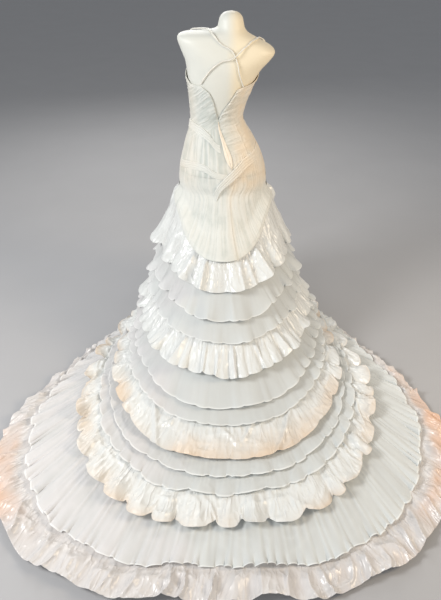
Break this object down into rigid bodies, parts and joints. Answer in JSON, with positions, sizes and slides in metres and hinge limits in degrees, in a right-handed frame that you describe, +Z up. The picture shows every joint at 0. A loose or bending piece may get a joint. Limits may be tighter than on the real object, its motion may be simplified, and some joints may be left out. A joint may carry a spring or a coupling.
{
  "type": "mermaid wedding dress on a dress form",
  "caption": "Backless mermaid wedding dress with crossed straps, ruffled satin and organza tiers and a long round train, worn by a limbless dress form on a stand.",
  "frame": {"origin": "centre of the stand's foot on the floor, under the pole", "axes": "+X towards the wearer's left, +Y towards the end of the train at the back, +Z up"},
  "size_m": [1.9138, 1.9694, 1.568],
  "materials": {
    "form_skin": "smooth cream shell, slightly satin",
    "stand_steel": "plain brushed steel",
    "bodice_crepe": "ruched crinkle crepe in warm ivory",
    "placket_tape": "smooth peach tape",
    "strap_satin": "rolled satin",
    "skirt_satin": "crinkled ivory satin with a champagne cast",
    "tier_satin": "bright gathered satin",
    "tier_organza": "sheer finely gathered organza with a rolled edge"
  },
  "bodies": {
    "root": {"form_torso": "form_skin", "stand_pole": "stand_steel", "stand_foot": "stand_steel", "bodice_front": "bodice_crepe", "bodice_back_left": "bodice_crepe", "bodice_back_right": "bodice_crepe", "seat_panel_left": "bodice_crepe", "seat_panel_right": "bodice_crepe", "waist_band_left": "bodice_crepe", "hip_band_left": "bodice_crepe", "hip_band_right": "bodice_crepe", "zip_placket": "placket_tape", "strap_left": "strap_satin", "strap_right": "strap_satin", "skirt_back_left": "skirt_satin", "skirt_back_right": "skirt_satin", "skirt_side_left": "skirt_satin", "skirt_side_right": "skirt_satin", "skirt_front_left": "skirt_satin", "skirt_front_right": "skirt_satin", "satin_tier_1": "tier_satin", "satin_tier_2": "tier_satin", "satin_tier_3": "tier_satin", "satin_tier_4": "tier_satin", "organza_tier_1": "tier_organza", "organza_tier_2": "tier_organza", "organza_tier_3": "tier_organza", "organza_tier_4": "tier_organza", "organza_tier_5": "tier_organza", "organza_tier_6": "tier_organza", "organza_tier_7": "tier_organza"}
  },
  "joints": []
}
